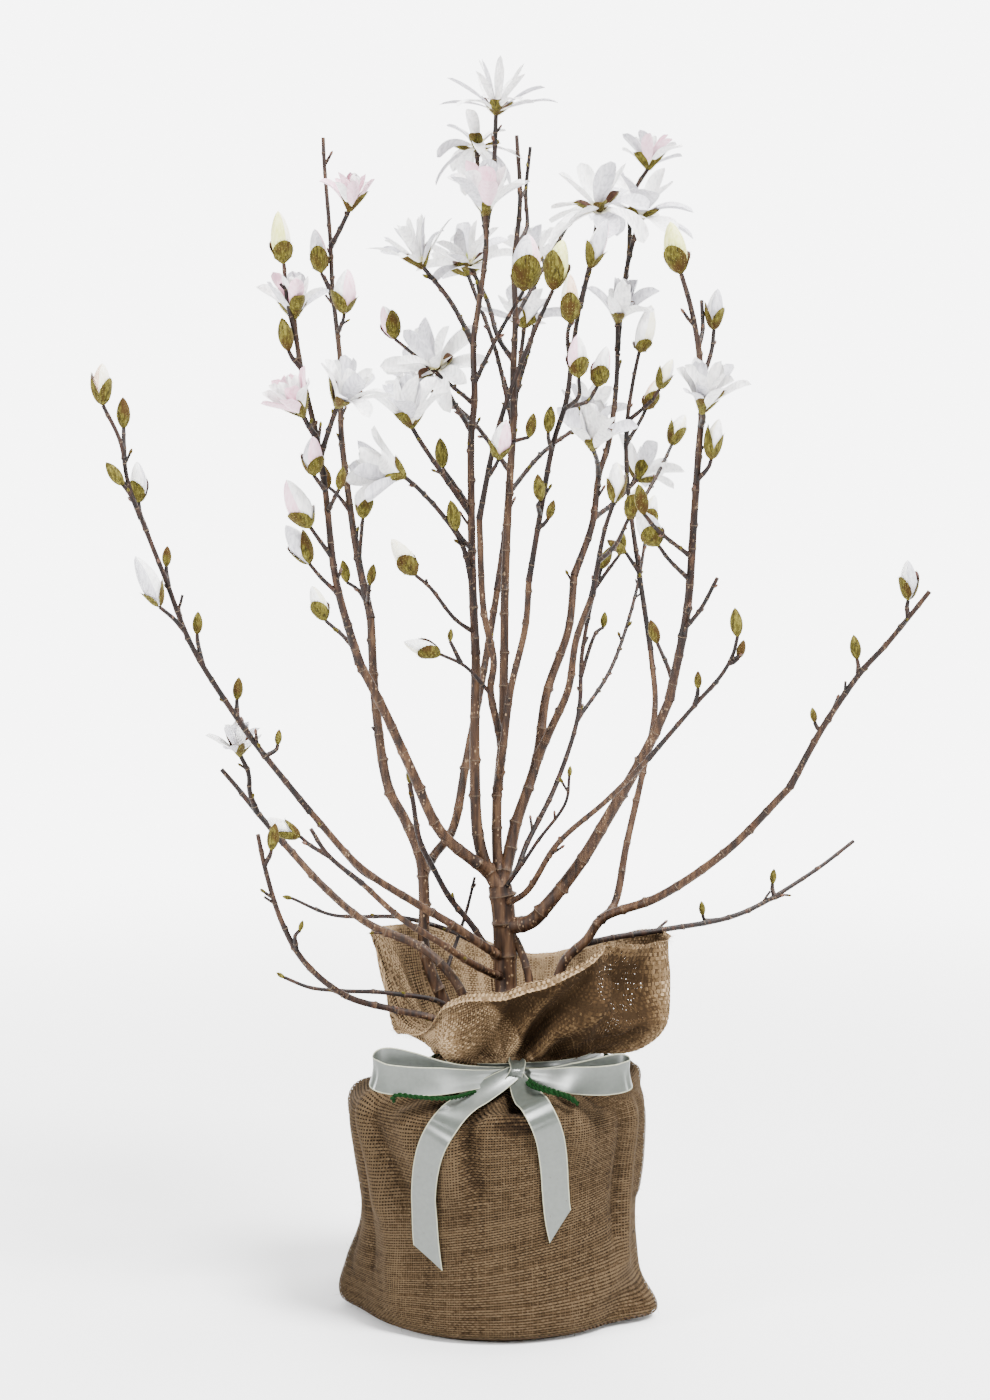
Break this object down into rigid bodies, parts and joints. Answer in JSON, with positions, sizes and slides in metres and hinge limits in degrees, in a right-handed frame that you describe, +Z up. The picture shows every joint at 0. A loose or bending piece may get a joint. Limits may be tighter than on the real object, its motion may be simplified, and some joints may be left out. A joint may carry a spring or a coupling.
{
  "type": "potted star magnolia",
  "caption": "A star magnolia in flower, bare of leaves, in a nursery pot wrapped in a burlap sack tied with twine and a pale satin ribbon bow.",
  "frame": {"origin": "centre of the sack's flat underside, on the floor", "axes": "+Z up along the trunk, -Y towards the front with the ribbon bow, +X to the right seen from the front"},
  "size_m": [0.6945, 0.473, 1.1148],
  "materials": {
    "bark": "matte",
    "flowering_twigs": "matte",
    "budded_twigs": "matte",
    "pot_plastic": "satin",
    "soil": "matte",
    "burlap": "matte",
    "satin": "satin",
    "wool": "matte"
  },
  "bodies": {
    "root": {"nursery_pot": "pot_plastic", "potting_soil": "soil", "burlap_sack": "burlap", "ribbon_bow": "satin", "twine_tie": "wool", "trunk": "bark", "side_stem": "bark", "left_leader": "bark", "centre_leader": "bark", "right_leader": "bark", "left_bough": "bark", "right_bough": "bark", "red_stem": "bark", "dark_stem": "bark", "back_left_stem": "bark", "back_stem": "bark", "right_fork": "bark", "far_right_bough": "bark", "right_shoot": "bark", "thin_right_shoot": "bark", "far_left_bough": "bark", "left_low_bough": "bark", "left_middle_bough": "bark", "left_leader_spray": "flowering_twigs", "centre_spray": "flowering_twigs", "red_spray": "budded_twigs", "dark_spray": "flowering_twigs", "back_left_spray": "flowering_twigs", "back_spray": "flowering_twigs", "left_spray": "flowering_twigs", "right_leader_spray": "flowering_twigs", "right_fork_spray": "budded_twigs", "right_spray": "flowering_twigs", "right_shoot_spray": "budded_twigs", "thin_right_spray": "budded_twigs", "inner_right_spray": "budded_twigs", "short_right_spray": "budded_twigs", "far_right_spray": "budded_twigs", "low_right_spray": "budded_twigs", "far_left_spray": "budded_twigs", "left_low_spray": "flowering_twigs", "left_middle_spray": "budded_twigs", "left_short_spray": "budded_twigs", "left_level_spray": "budded_twigs", "low_left_spray": "budded_twigs", "low_level_spray": "budded_twigs", "inner_left_spray": "budded_twigs", "cross_twig": "budded_twigs", "low_left_bud_spray": "budded_twigs"}
  },
  "joints": []
}
